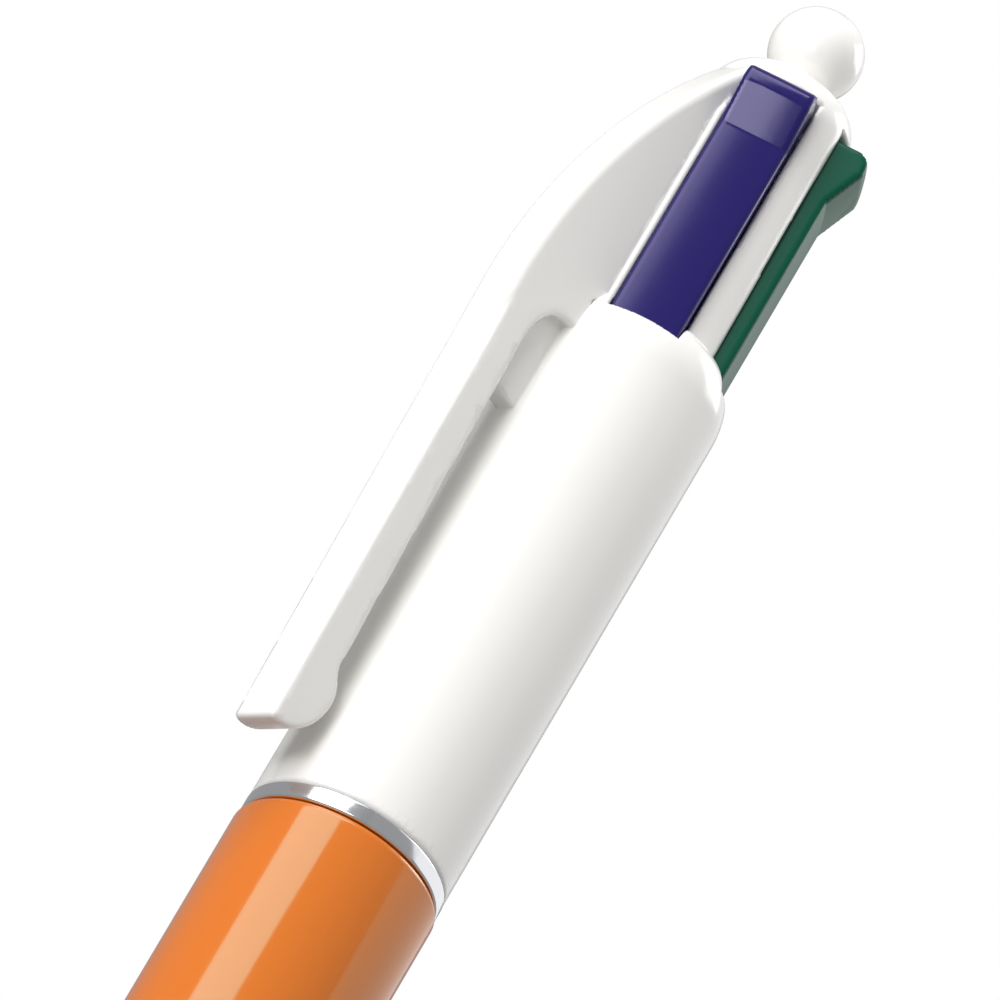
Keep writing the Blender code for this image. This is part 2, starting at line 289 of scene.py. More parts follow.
def plate(outline: Sequence[Point], width: float, soft: float = 0.0, soft_count: int = 0) -> Mesh:
    """A plate across X, cut to (distance towards the clip, height) points.

    Args:
        outline: the plate's outline.
        width: how wide it is.
        soft: how far the edges along its first points are rounded off.
        soft_count: how many of its first points that takes in.

    Returns:
        The plate's mesh.
    """
    work = bmesh.new()
    sides = [[work.verts.new((x, -out, height)) for out, height in outline] for x in (-width / 2, width / 2)]
    work.faces.new(sides[0])
    work.faces.new(list(reversed(sides[1])))
    count = len(outline)
    for i in range(count):
        j = (i + 1) % count
        work.faces.new((sides[0][i], sides[1][i], sides[1][j], sides[0][j]))
    bmesh.ops.recalc_face_normals(work, faces=work.faces)
    if soft:
        rounds = [work.edges.get((side[i], side[i + 1])) for side in sides for i in range(soft_count - 1)]
        bmesh.ops.bevel(work, geom=rounds, offset=soft, segments=6, profile=0.5, affect="EDGES")
    mesh = bpy.data.meshes.new("plate")
    work.to_mesh(mesh)
    work.free()
    return mesh


def block(width: float, near: float, far: float, low: float, high: float, azimuth: float = 0.0) -> Mesh:
    """A block that runs out from the axis.

    Args:
        width: its width across.
        near: where it starts, as a distance towards its azimuth.
        far: where it ends.
        low: its lowest height.
        high: its highest height.
        azimuth: the way it points, in degrees.

    Returns:
        The block's mesh.
    """
    mesh = plate([(near, low), (far, low), (far, high), (near, high)], width)
    mesh.transform(Matrix.Rotation(math.radians(azimuth), 4, "Z"))
    return mesh


def joined(base: Mesh, tools: Sequence[tuple[Mesh, Joining]]) -> Mesh:
    """Apply tools to a solid, one after another.

    Args:
        base: the solid's mesh.
        tools: each tool's mesh, and how it changes the solid.

    Returns:
        The finished mesh.
    """
    thing = linked("solid", base)
    helpers = []
    for mesh, how in tools:
        tool = linked("tool", mesh)
        helpers.append(tool)
        step = thing.modifiers.new("join", "BOOLEAN")
        step.operation = how.value
        step.object = tool
        step.solver = "EXACT"
    mesh = evaluated(thing, "solid")
    for tool in helpers:
        bpy.data.objects.remove(tool)
    return mesh


def thinned(mesh: Mesh, share: float) -> Mesh:
    """Keep a share of a mesh's triangles, where they matter least to its shape."""
    thing = linked("thick", mesh)
    step = thing.modifiers.new("thin", "DECIMATE")
    step.ratio = share
    return evaluated(thing, "thinned")


def table(items: Sequence, label: str, width: int, kind: type = np.float64) -> np.ndarray:
    """A property of a mesh's elements as a table, with one row for each element.

    Args:
        items: the elements.
        label: the property's name.
        width: how many numbers it has.
        kind: the kind of those numbers.

    Returns:
        The table.
    """
    values = np.empty(len(items) * width, dtype=kind)
    items.foreach_get(label, values)
    return values.reshape(-1, width)


def rounded(core: Mesh, radius: float, voxel: float, share: float = 1.0) -> Mesh:
    """Grow a core by a radius on every side, so that all its outer edges come out round.

    A fine even skin is laid over the core, moved out by the radius, and then set at exactly
    that distance from the core's nearest point.

    Args:
        core: the solid, made smaller than the real piece by the radius.
        radius: the radius of the edges.
        voxel: the size of the skin's faces.
        share: the share of its triangles that is kept at the end.

    Returns:
        The rounded mesh.
    """
    thing = linked("core", core.copy())
    skin = thing.modifiers.new("skin", "REMESH")
    skin.mode = "VOXEL"
    skin.voxel_size = voxel
    mesh = evaluated(thing, "rounded")
    work = bmesh.new()
    work.from_mesh(core)
    nearest = BVHTree.FromBMesh(work, epsilon=0.0).find_nearest
    work.free()

    places = table(mesh.vertices, "co", 3) + table(mesh.vertex_normals, "vector", 3) * radius
    ends = table(mesh.edges, "vertices", 2, np.int64)
    degree = np.bincount(ends.ravel(), minlength=len(places))[:, None]
    for relax in (0.5, 0.5, 0.0):
        feet = np.array([nearest(p)[0] for p in places])
        away = places - feet
        places = feet + away * (radius / np.maximum(np.linalg.norm(away, axis=1, keepdims=True), 1e-9))
        total = np.zeros_like(places)
        np.add.at(total, ends[:, 0], places[ends[:, 1]])
        np.add.at(total, ends[:, 1], places[ends[:, 0]])
        places = places + (total / degree - places) * relax
    mesh.vertices.foreach_set("co", places.ravel())
    mesh.update()
    if share < 1.0:
        mesh = thinned(mesh, share)
    mesh.shade_smooth()
    return mesh


# ---------------------------------------------------------------- node groups


def feed(tree: NodeTree, node: Node, inputs: dict) -> Node:
    """Link or set a node's inputs.

    Args:
        tree: the tree that the node is in.
        node: the node.
        inputs: what goes into each socket, by name or number: another socket or a value.

    Returns:
        The same node.
    """
    for label, value in inputs.items():
        if isinstance(value, NodeSocket):
            tree.links.new(value, node.inputs[label])
        else:
            node.inputs[label].default_value = value
    return node


def add_node(tree: NodeTree, kind: str, inputs: dict, **settings) -> Node:
    """Add a node to a tree.

    Args:
        tree: the tree.
        kind: the node's type.
        inputs: what goes into each socket, by name or number: another socket or a value.
        settings: the node's own settings.

    Returns:
        The node.
    """
    node = tree.nodes.new(kind)
    for label, value in settings.items():
        setattr(node, label, value)
    return feed(tree, node, inputs)


class NodeGroup:
    """A node group with named inputs and outputs, built once and used many times."""

    def __init__(self, name: str, kind: str, inputs: dict[str, str | float | Colour],
                 outputs: dict[str, str]) -> None:
        """Start a group.

        Args:
            name: the group's name.
            kind: the type of its tree.
            inputs: each input's name, with the kind of its socket or its first value.
            outputs: each output's name and the kind of its socket.
        """
        self.tree = bpy.data.node_groups.new(name, kind)
        face = self.tree.interface
        for label, value in inputs.items():
            first = {str: value, tuple: "Color"}.get(type(value), "Float")
            socket = face.new_socket(label, in_out="INPUT", socket_type=f"NodeSocket{first}")
            if not isinstance(value, str):
                socket.default_value = (*value, 1.0) if isinstance(value, tuple) else value
        for label, value in outputs.items():
            face.new_socket(label, in_out="OUTPUT", socket_type=f"NodeSocket{value}")
        self.source = self.tree.nodes.new("NodeGroupInput")
        self.sink = self.tree.nodes.new("NodeGroupOutput")

    def get(self, label: str) -> NodeSocket:
        """The socket that brings one of the group's inputs."""
        return self.source.outputs[label]

    def add(self, kind: str, inputs: dict, **settings) -> Node:
        """Add a node and link or set its inputs."""
        return add_node(self.tree, kind, inputs, **settings)

    def math(self, operation: str, *values, **settings) -> NodeSocket:
        """Add a Math node and return its result."""
        node = self.add("ShaderNodeMath", dict(enumerate(values)), operation=operation, **settings)
        return node.outputs[0]

    def finish(self, results: dict[str, NodeSocket]) -> NodeTree:
        """Send sockets to the group's outputs and return its tree."""
        feed(self.tree, self.sink, results)
        return self.tree


# ---------------------------------------------------------------- geometry nodes


class ShapeTree(NodeGroup):
    """A Geometry Nodes tree that turns one object into a finished mesh."""

    def __init__(self, name: str, inputs: dict[str, str]) -> None:
        """Start a tree with these inputs besides its geometry and its material."""
        super().__init__(name, "GeometryNodeTree", {"Geometry": "Geometry", "Material": "Material",
                                                    **inputs}, {"Geometry": "Geometry"})

    def close(self, geometry: NodeSocket, merge: float) -> NodeTree:
        """Close the tree: weld, shade smooth, realize and set the material.

        Args:
            geometry: the finished geometry.
            merge: the distance within which points are one.

        Returns:
            The finished tree.
        """
        weld = self.add("GeometryNodeMergeByDistance", {"Geometry": geometry, "Distance": merge})
        smooth = self.add("GeometryNodeSetShadeSmooth", {"Geometry": weld.outputs[0]})
        real = self.add("GeometryNodeRealizeInstances", {"Geometry": smooth.outputs[0]})
        dressed = self.add("GeometryNodeSetMaterial", {"Geometry": real.outputs[0],
                                                       "Material": self.get("Material")})
        return self.finish({"Geometry": dressed.outputs[0]})

    def polar(self, radius: NodeSocket, angle: NodeSocket, height: NodeSocket) -> NodeSocket:
        """The position at a radius, an angle and a height about the axis."""
        x, y = (self.math("MULTIPLY", radius, self.math(wave, angle)) for wave in ("COSINE", "SINE"))
        return self.add("ShaderNodeCombineXYZ", {0: x, 1: y, 2: height}).outputs[0]

    def sweep(self, path: NodeSocket, radius: NodeSocket, caps: bool | NodeSocket) -> NodeTree:
        """Sweep a round section with the tree's number of sides along a path, and close the tree.

        Args:
            path: the path.
            radius: the section's radius.
            caps: whether the ends are closed.

        Returns:
            The finished tree.
        """
        ring = self.add("GeometryNodeCurvePrimitiveCircle", {"Resolution": self.get("Sides"),
                                                             "Radius": radius})
        swept = self.add("GeometryNodeCurveToMesh", {"Curve": path, "Profile Curve": ring.outputs[0],
                                                     "Fill Caps": caps})
        return self.close(swept.outputs[0], WELD / 10)


def run_tree(thing: Object, tree: NodeTree, values: dict) -> None:
    """Give an object a tree with its own values.

    Args:
        thing: the object that the tree starts from.
        tree: the tree.
        values: each input's name and value.
    """
    step = thing.modifiers.new(tree.name, "NODES")
    step.node_group = tree
    sockets = {s.name: s.identifier for s in tree.interface.items_tree if s.in_out == "INPUT"}
    for label, value in values.items():
        step[sockets[label]] = value


def turning_tree() -> NodeTree:
    """A tree that turns a row of (radius, 0, height) points about the axis."""
    tree = ShapeTree("turning", {"Sides": "Int"})
    size = tree.add("GeometryNodeAttributeDomainSize", {"Geometry": tree.get("Geometry")})
    across = tree.math("ADD", tree.get("Sides"), 1)
    grid = tree.add("GeometryNodeMeshGrid", {"Vertices X": size.outputs["Point Count"],
                                             "Vertices Y": across})
    index = tree.add("GeometryNodeInputIndex", {}).outputs[0]
    row = tree.math("FLOOR", tree.math("DIVIDE", tree.math("ADD", index, 0.5), across))
    column = tree.math("SUBTRACT", index, tree.math("MULTIPLY", row, across))
    angle = tree.math("DIVIDE", tree.math("MULTIPLY", column, 2 * math.pi), tree.get("Sides"))
    place = tree.add("GeometryNodeInputPosition", {}).outputs[0]
    sample = tree.add("GeometryNodeSampleIndex", {"Geometry": tree.get("Geometry"), "Value": place,
                                                  "Index": row}, data_type="FLOAT_VECTOR")
    profile = tree.add("ShaderNodeSeparateXYZ", {0: sample.outputs[0]})
    spot = tree.polar(profile.outputs[0], angle, profile.outputs[2])
    moved = tree.add("GeometryNodeSetPosition", {"Geometry": grid.outputs[0], "Position": spot})
    return tree.close(moved.outputs[0], WELD)


def coil_tree() -> NodeTree:
    """A tree that winds a round wire up the axis, with its end turns wound close."""
    sizes = ("Radius", "Wire Radius", "Low", "High", "Turns", "Close Turns", "Close Pitch")
    tree = ShapeTree("coil", {**dict.fromkeys(sizes, "Float"), "Points A Turn": "Int", "Sides": "Int"})
    radius, wire, low, high, turns, close, pitch = (tree.get(size) for size in sizes)
    count = tree.math("ADD", tree.math("MULTIPLY", turns, tree.get("Points A Turn")), 1)
    line = tree.add("GeometryNodeCurvePrimitiveLine", {})
    path = tree.add("GeometryNodeResampleCurve", {"Curve": line.outputs[0], "Count": count})
    index = tree.add("GeometryNodeInputIndex", {}).outputs[0]
    turn = tree.math("DIVIDE", index, tree.get("Points A Turn"))
    angle = tree.math("MULTIPLY", turn, 2 * math.pi)
    open_turns = tree.math("SUBTRACT", turns, tree.math("MULTIPLY", close, 2))
    share = tree.math("DIVIDE", tree.math("SUBTRACT", turn, close), open_turns)
    share = tree.math("MINIMUM", tree.math("MAXIMUM", share, 0.0), 1.0)
    tight = tree.math("MULTIPLY", turn, pitch)
    rest = tree.math("SUBTRACT", tree.math("SUBTRACT", high, low), tree.math("MULTIPLY", turns, pitch))
    height = tree.math("ADD", tree.math("ADD", low, tight), tree.math("MULTIPLY", share, rest))
    wound = tree.add("GeometryNodeSetPosition", {"Geometry": path.outputs[0],
                                                 "Position": tree.polar(radius, angle, height)})
    return tree.sweep(wound.outputs[0], wire, True)


def sweep_tree() -> NodeTree:
    """A tree that sweeps a round section along a chain of points."""
    tree = ShapeTree("sweep", {"Radius": "Float", "Sides": "Int", "Caps": "Bool"})
    path = tree.add("GeometryNodeMeshToCurve", {0: tree.get("Geometry")})
    return tree.sweep(path.outputs[0], tree.get("Radius"), tree.get("Caps"))


# ---------------------------------------------------------------- shader groups


class SkinTree(NodeGroup):
    """A shader node group that several finishes share."""

    def __init__(self, name: str, inputs: dict[str, float | Colour], outputs: dict[str, str]) -> None:
        """Start a group with these inputs and outputs."""
        super().__init__(name, "ShaderNodeTree", inputs, outputs)
        self.where = self.add("ShaderNodeTexCoord", {}).outputs["Object"]

    def noise(self, scale: str, where: NodeSocket | None = None, **values: float) -> NodeSocket:
        """A noise over the piece.

        Args:
            scale: the name of the input that sets its scale.
            where: the coordinates it takes, or None for the piece's own.
            values: its other inputs.

        Returns:
            The noise, from 0 to 1.
        """
        inputs = {"Vector": where or self.where, "Scale": self.get(scale), **values}
        return self.add("ShaderNodeTexNoise", inputs).outputs[0]

    def swing(self, noise: NodeSocket, amount: str) -> NodeSocket:
        """A noise about zero, times one of the group's inputs."""
        return self.math("MULTIPLY", self.math("SUBTRACT", noise, 0.5), self.get(amount))


def moulded_group() -> NodeTree:
    """Moulded plastic: slow changes of shade, patches of gloss, and a very fine skin."""
    group = SkinTree("moulded_skin", {"Colour": (0.8, 0.8, 0.8), "Shade": 0.03, "Roughness": 0.2,
                                      "Patches": 0.05, "Flow Scale": 90.0, "Skin Scale": 2500.0},
                     {"Colour": "Color", "Roughness": "Float", "Height": "Float"})
    flow = group.noise("Flow Scale", Detail=2.0, Roughness=0.5)
    value = group.math("ADD", group.swing(flow, "Shade"), 1.0)
    colour = group.add("ShaderNodeHueSaturation", {"Value": value, "Color": group.get("Colour")})
    gloss = group.noise("Flow Scale", Detail=4.0, Roughness=0.6, Distortion=0.4)
    rough = group.math("ADD", group.swing(gloss, "Patches"), group.get("Roughness"), use_clamp=True)
    return group.finish({"Colour": colour.outputs[0], "Roughness": rough,
                         "Height": group.noise("Skin Scale", Detail=2.0, Roughness=0.6)})


def wear_group() -> NodeTree:
    """Handling wear: short fine scuffs that lie both ways, as a mask."""
    group = SkinTree("handling_wear", {"Scale": 900.0, "Amount": 0.25}, {"Mask": "Float"})
    masks = []
    for tilt, stretch in ((0.35, 0.045), (-0.9, 0.06)):
        lay = group.add("ShaderNodeMapping", {"Vector": group.where, "Rotation": (tilt, 0.4 * tilt, 0.7),
                                              "Scale": (1.0, 1.0, stretch)})
        noise = group.noise("Scale", lay.outputs[0], Detail=1.0, Roughness=0.4)
        line = group.add("ShaderNodeMapRange", {"Value": noise, "From Min": 0.66, "From Max": 0.74})
        masks.append(line.outputs[0])
    mask = group.math("MULTIPLY", group.math("MAXIMUM", *masks), group.get("Amount"), use_clamp=True)
    return group.finish({"Mask": mask})


def turned_lines_group() -> NodeTree:
    """Fine lines round the axis, as a lathe or a rolled band leaves them."""
    group = SkinTree("turned_lines", {"Scale": 6000.0, "Roughness": 0.2, "Spread": 0.1},
                     {"Roughness": "Float", "Height": "Float"})
    lay = group.add("ShaderNodeMapping", {"Vector": group.where, "Scale": (0.02, 0.02, 1.0)})
    lines = group.noise("Scale", lay.outputs[0], Detail=3.0, Roughness=0.6)
    rough = group.math("ADD", group.swing(lines, "Spread"), group.get("Roughness"), use_clamp=True)
    return group.finish({"Roughness": rough, "Height": lines})


@dataclass
class Groups:
    """The shader groups that the finishes share."""

    moulded: NodeTree
    wear: NodeTree
    lines: NodeTree

    @classmethod
    def build(cls) -> "Groups":
        """Build every group once."""
        return cls(moulded_group(), wear_group(), turned_lines_group())


# ---------------------------------------------------------------- finishes


def new_material(name: str) -> tuple[Material, NodeTree, Node]:
    """A material with its node tree and its shader."""
    material = bpy.data.materials.new(name)
    material.use_nodes = True
    tree = material.node_tree
    return material, tree, tree.nodes["Principled BSDF"]


@dataclass(frozen=True)
class Plastic:
    """Glossy moulded plastic.

    Attributes:
        name: the material's name.
        colour: the plastic's own colour.
        roughness: how dull its surface is.
        coat: the weight of the hard bright skin over it.
        clear: how much light passes straight through it.
        ior: how strongly it bends light.
        wear: how much its scuffs show.
        tint: the colour of what it mirrors head on.
    """

    name: str
    colour: Colour
    roughness: float = 0.22
    coat: float = 0.0
    clear: float = 0.0
    ior: float = 1.5
    wear: float = 0.2
    tint: Colour = (1.0, 1.0, 1.0)

    def build(self, groups: Groups) -> Material:
        """Make the material from the shared shader groups."""
        material, tree, shader = new_material(self.name)
        skin = add_node(tree, "ShaderNodeGroup", {"Colour": (*self.colour, 1.0), "Shade": 0.04,
                                                  "Roughness": self.roughness}, node_tree=groups.moulded)
        marks = add_node(tree, "ShaderNodeGroup", {"Amount": self.wear}, node_tree=groups.wear)
        rough, height = (add_node(tree, "ShaderNodeMath", {0: marks.outputs["Mask"], 1: change,
                                                           2: skin.outputs[label]}, operation="MULTIPLY_ADD")
                         for label, change in (("Roughness", 0.35), ("Height", -0.6)))
        bump = add_node(tree, "ShaderNodeBump", {"Height": height.outputs[0], "Strength": 0.06,
                                                 "Distance": 0.00002})
        feed(tree, shader, {"Base Color": skin.outputs["Colour"], "Roughness": rough.outputs[0],
                            "Normal": bump.outputs[0], "Coat Weight": self.coat, "Coat Roughness": 0.05,
                            "IOR": self.ior, "Specular Tint": (*self.tint, 1.0),
                            "Transmission Weight": self.clear})
        return material


@dataclass(frozen=True)
class Metal:
    """Bright metal with fine lines round the axis.

    Attributes:
        name: the material's name.
        colour: the metal's colour.
        roughness: how dull it is.
        lines: how fine the lines are.
    """

    name: str
    colour: Colour
    roughness: float = 0.2
    lines: float = 6000.0

    def build(self, groups: Groups) -> Material:
        """Make the material from the shared shader groups."""
        material, tree, shader = new_material(self.name)
        lines = add_node(tree, "ShaderNodeGroup", {"Scale": self.lines, "Roughness": self.roughness,
                                                   "Spread": 0.12}, node_tree=groups.lines)
        marks = add_node(tree, "ShaderNodeGroup", {"Amount": 0.3}, node_tree=groups.wear)
        dull = tuple(c * 0.7 for c in self.colour)
        tint = add_node(tree, "ShaderNodeMix", {0: marks.outputs["Mask"], 6: (*self.colour, 1.0),
                                                7: (*dull, 1.0)}, data_type="RGBA")
        bump = add_node(tree, "ShaderNodeBump", {"Height": lines.outputs["Height"], "Strength": 0.15,
                                                 "Distance": 0.00001})
        feed(tree, shader, {"Base Color": tint.outputs[2], "Roughness": lines.outputs["Roughness"],
                            "Normal": bump.outputs[0], "Metallic": 1.0})
        return material


@dataclass(frozen=True)
class Fluid:
    """Thick ink behind its tube's wall.

    Attributes:
        name: the material's name.
        colour: the ink's colour.
    """

    name: str
    colour: Colour

    def build(self, groups: Groups) -> Material:
        """Make the material from the shared shader groups."""
        material, tree, shader = new_material(self.name)
        skin = add_node(tree, "ShaderNodeGroup", {"Colour": (*self.colour, 1.0), "Shade": 0.3,
                                                  "Roughness": 0.08, "Flow Scale": 400.0},
                        node_tree=groups.moulded)
        feed(tree, shader, {"Base Color": skin.outputs["Colour"], "Roughness": skin.outputs["Roughness"]})
        return material


@dataclass
class Workshop:
    """What every sub-assembly needs: the pen's place, the trees and the materials."""

    pen: PenFrame
    turning: NodeTree
    coil: NodeTree
    sweep: NodeTree
    materials: dict[str, Material]

    @classmethod
    def open(cls, pen: PenFrame) -> "Workshop":
        """Build the trees, the shader groups and every finish."""
        groups = Groups.build()
        finishes = (
            Plastic("orange_plastic", (0.685, 0.166, 0.016), roughness=0.12, coat=0.1, ior=1.6,
                    tint=(0.1, 1.0, 0.8)),
            Plastic("white_plastic", (0.88, 0.868, 0.842), roughness=0.2, coat=0.2, wear=0.04),
            Plastic("natural_plastic", (0.80, 0.79, 0.75), roughness=0.35, clear=0.35),
            Plastic("blue_plastic", (0.012, 0.007, 0.105), roughness=0.14, tint=(0.8, 0.75, 1.0)),
            Plastic("green_plastic", (0.0, 0.075, 0.042), roughness=0.3, ior=1.3),
            Plastic("red_plastic", (0.55, 0.012, 0.02), roughness=0.14, coat=0.3),
            Plastic("black_plastic", (0.012, 0.012, 0.013), roughness=0.14, coat=0.3),
            Metal("bright_metal", (0.80, 0.81, 0.84), roughness=0.16),
            Metal("spring_steel", (0.55, 0.56, 0.58), roughness=0.28, lines=9000.0),
            Metal("brass", (0.78, 0.57, 0.24)),
            Fluid("blue_ink", (0.004, 0.006, 0.12)),
            Fluid("green_ink", (0.0, 0.06, 0.02)),
            Fluid("red_ink", (0.3, 0.002, 0.006)),
            Fluid("black_ink", (0.003, 0.003, 0.004)),
        )
        materials = {finish.name: finish.build(groups) for finish in finishes}
        return cls(pen, turning_tree(), coil_tree(), sweep_tree(), materials)

    def turned(self, profile: Sequence[Point], sides: int, slot: str) -> Mesh:
        """Turn a profile about the axis.

        Args:
            profile: (radius, height) points. A radius under WELD counts as on the axis.
            sides: how many sides the round has.
            slot: the finish's name.

        Returns:
            A closed mesh with its material.
        """
        rows = [(radius if radius > WELD else 0.0, 0.0, height) for radius, height in profile]
        if rows[0][0] > 0.0:
            rows.append(rows[0])
        thing = points_object("profile", rows, chain=False)
        run_tree(thing, self.turning, {"Sides": sides, "Material": self.materials[slot]})
        return creased(thing, "turned")

    def wound(self, sizes: dict[str, float], slot: str) -> Mesh:
        """Wind a wire about the axis.

        Args:
            sizes: the coil tree's sizes, by name.
            slot: the finish's name.

        Returns:
            The wire's mesh, smooth all over.
        """
        start = points_object("start", [(0.0, 0.0, 0.0)], chain=False)
        run_tree(start, self.coil, {**sizes, "Sides": 10, "Material": self.materials[slot]})
        mesh = welded(evaluated(start, "coil"))
        mesh.shade_smooth()
        return mesh

    def add(self, name: str, mesh: Mesh, slot: str, body: str | None,
            replaces: Sequence[str] = (), azimuth: float = 0.0, out: float = 0.0) -> Object:
        """Put a finished mesh in the scene as a piece, at its place in the frame.

        Args:
            name: the piece's name.
            mesh: its mesh, built about the pen's axis and facing the clip.
            slot: the finish it takes.
            body: the body it rides on, or None for a piece that is left without one.
            replaces: the CAD nodes it stands for.
            azimuth: the azimuth in degrees that it is turned to.
            out: how far it stands out from the axis.

        Returns:
            The piece.
        """
        self.pen.place(mesh, azimuth, out)
        mesh.name = name
        mesh.materials.clear()
        mesh.materials.append(self.materials[slot])
        piece = linked(name, mesh)
        if body:
            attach(piece, body)
        if replaces:
            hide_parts(*replaces)
        log.info("%s: %d faces, on %s", name, len(mesh.polygons), body or "two bodies")
        return piece


# ---------------------------------------------------------------- sub-assemblies


@dataclass
class LowerBarrel:
    """The coloured barrel, with its nose, its mouth and its socket."""

    shop: Workshop
    radius: float = 6.15 * MM
    rim: float = 0.5 * MM
    nose_height: float = 30.0 * MM
    nose_radius: float = 2.1 * MM
    nose_edge: float = 0.35 * MM
    nose_lip: float = 0.05 * MM
    nose_fullness: float = 1.6
    nose_steps: int = 40
    mouth_radius: float = 1.45 * MM
    mouth_edge: float = 0.1 * MM
    mouth_height: float = 1.5 * MM
    bore_radius: float = 4.9 * MM
    cone_top: float = 18.75 * MM
    socket_radius: float = 5.3 * MM
    socket_foot: float = 77.0 * MM
    socket_step: float = 0.4 * MM
    socket_edge: float = 0.15 * MM
    sides: int = 160

    def profile(self) -> list[Point]:
        """The barrel's outline, down the outside and up the bore."""
        _, top = self.shop.pen.span("lower_barrel")
        rim = arc((self.radius - self.rim, top - self.rim), (self.rim, self.rim), 90, 0, 12)
        wall = [(self.radius, self.nose_height + (top - self.rim - self.nose_height) * i / 6)
                for i in range(5, 0, -1)]
        nose = []
        for i in range(self.nose_steps):
            height = self.nose_height + (self.nose_edge - self.nose_height) * i / self.nose_steps
            bulge = 1 - (1 - height / self.nose_height) ** self.nose_fullness
            nose.append((self.nose_radius + (self.radius - self.nose_radius) * bulge, height))
        edge = arc((self.nose_radius - self.nose_edge, self.nose_edge),
                   (self.nose_edge + self.nose_lip, self.nose_edge), 0, -90, 8)
        soft = self.mouth_edge
        mouth = arc((self.mouth_radius + soft, soft), (soft, soft), -90, -180, 4)
        inside = [(self.mouth_radius, self.mouth_height), (self.bore_radius, self.cone_top),
                  (self.bore_radius, self.socket_foot),
                  (self.socket_radius, self.socket_foot + self.socket_step),
                  (self.socket_radius, top - self.socket_edge), (self.socket_radius + self.socket_edge, top)]
        return rim + wall + nose + edge + mouth + inside

    def build(self) -> None:
        """Make the barrel."""
        mesh = self.shop.turned(self.profile(), self.sides, "orange_plastic")
        self.shop.add("lower_barrel_shell", mesh, "orange_plastic", Body.LOWER.value, ["lower_barrel"])


@dataclass
class BarrelRing:
    """The bright band between the two barrels."""

    shop: Workshop
    inner: float = 5.3 * MM
    outer: float = 6.03 * MM
    edge: float = 0.16 * MM
    sides: int = 192

    def build(self) -> None:
        """Make the band with its rounded edges."""
        low, high = self.shop.pen.span("barrel_ring")
        e = self.edge
        upper = arc((self.outer - e, high - e), (e, e), 90, 0, 6)
        lower = arc((self.outer - e, low + e), (e, e), 0, -90, 6)
        profile = [(self.inner, high)] + upper + lower + [(self.inner, low)]
        mesh = self.shop.turned(profile, self.sides, "bright_metal")
        self.shop.add("barrel_ring_band", mesh, "bright_metal", Body.RING.value, ["barrel_ring"])


